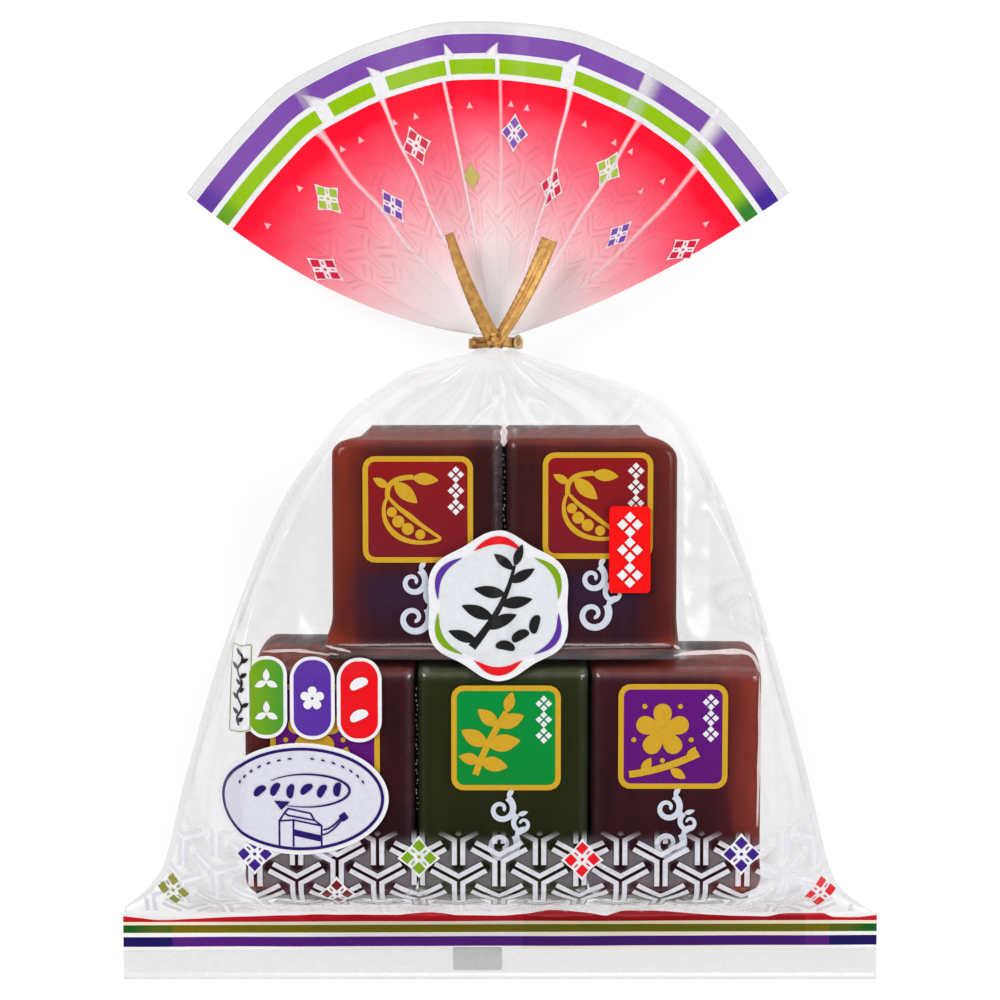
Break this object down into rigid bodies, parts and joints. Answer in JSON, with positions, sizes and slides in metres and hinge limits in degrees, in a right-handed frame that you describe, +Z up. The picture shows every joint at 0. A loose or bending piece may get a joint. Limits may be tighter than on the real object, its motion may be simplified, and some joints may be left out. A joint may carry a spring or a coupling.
{
  "type": "yokan gift bag",
  "caption": "Clear film gift bag of wrapped yokan bean jelly blocks, flat sealed hem, neck closed with a gold twist tie, film above it spread as a pleated fan.",
  "frame": {"origin": "middle of the underside of the bag as it lies on its back", "axes": "+Y from the sealed hem towards the fan, +Z up out of the shown side, +X across the bag"},
  "size_m": [0.16, 0.201, 0.0283],
  "materials": {
    "film": "clear crinkled polypropylene film",
    "foil_tie": "gold foil twist tie",
    "yokan_red": "dark red-brown bean jelly in a tight clear wrap",
    "yokan_green": "dark olive green tea bean jelly in a tight clear wrap",
    "yokan_plum": "dark plum-brown bean jelly in a tight clear wrap",
    "block_wrap": "tight clear wrap of one block",
    "gold_ink": "printed gold lines",
    "white_ink": "printed white",
    "silver_ink": "printed silver-white lines",
    "red_ink": "printed red",
    "green_ink": "printed green",
    "purple_ink": "printed purple"
  },
  "bodies": {
    "root": {"bag": "film", "twist_tie": "foil_tie"}
  },
  "joints": []
}
